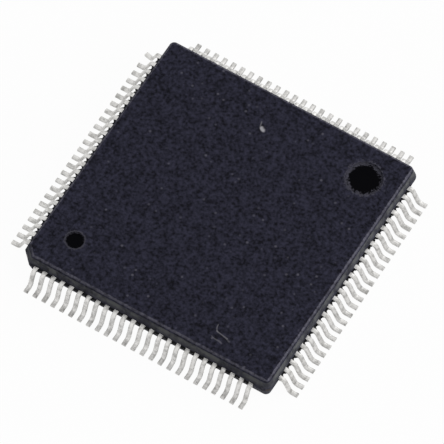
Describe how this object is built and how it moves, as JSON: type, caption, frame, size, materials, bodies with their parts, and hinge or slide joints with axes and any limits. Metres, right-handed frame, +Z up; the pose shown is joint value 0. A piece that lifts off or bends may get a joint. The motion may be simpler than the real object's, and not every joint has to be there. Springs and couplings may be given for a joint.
{
  "type": "quad flat pack chip",
  "caption": "Low-profile quad flat package: a thin square moulded body with gull-wing leads along all four sides, a cut corner and two round mould marks on top.",
  "frame": {"origin": "middle of the package on the seating plane, the plane that the soldering feet stand on", "axes": "+Z up, out of the top face that carries the round marks; the cut corner and lead 1 are at -X -Y, leads 1 to 25 run along the -Y side towards +X, and the numbers go on anticlockwise seen from above"},
  "size_m": [0.016, 0.016, 0.0016],
  "materials": {
    "mould_compound": "black epoxy moulding compound, spark-eroded matt texture",
    "matt_tin": "matt tin plating over copper alloy",
    "bare_copper": "stamped copper alloy strip, sealed inside",
    "silicon": "polished silicon, sealed inside",
    "die_glue": "silver-filled epoxy glue, sealed inside",
    "gold_wire": "drawn gold wire, sealed inside"
  },
  "bodies": {
    "root": {"mould_body": "mould_compound", "die": "silicon", "die_attach": "die_glue", "die_paddle": "bare_copper", "leads_001_005": "matt_tin", "leads_006_010": "matt_tin", "leads_011_015": "matt_tin", "leads_016_020": "matt_tin", "leads_021_025": "matt_tin", "leads_026_030": "matt_tin", "leads_031_035": "matt_tin", "leads_036_040": "matt_tin", "leads_041_045": "matt_tin", "leads_046_050": "matt_tin", "leads_051_055": "matt_tin", "leads_056_060": "matt_tin", "leads_061_065": "matt_tin", "leads_066_070": "matt_tin", "leads_071_075": "matt_tin", "leads_076_080": "matt_tin", "leads_081_085": "matt_tin", "leads_086_090": "matt_tin", "leads_091_095": "matt_tin", "leads_096_100": "matt_tin", "bond_wires_001_005": "gold_wire", "bond_wires_006_010": "gold_wire", "bond_wires_011_015": "gold_wire", "bond_wires_016_020": "gold_wire", "bond_wires_021_025": "gold_wire", "bond_wires_026_030": "gold_wire", "bond_wires_031_035": "gold_wire", "bond_wires_036_040": "gold_wire", "bond_wires_041_045": "gold_wire", "bond_wires_046_050": "gold_wire", "bond_wires_051_055": "gold_wire", "bond_wires_056_060": "gold_wire", "bond_wires_061_065": "gold_wire", "bond_wires_066_070": "gold_wire", "bond_wires_071_075": "gold_wire", "bond_wires_076_080": "gold_wire", "bond_wires_081_085": "gold_wire", "bond_wires_086_090": "gold_wire", "bond_wires_091_095": "gold_wire", "bond_wires_096_100": "gold_wire"}
  },
  "joints": []
}
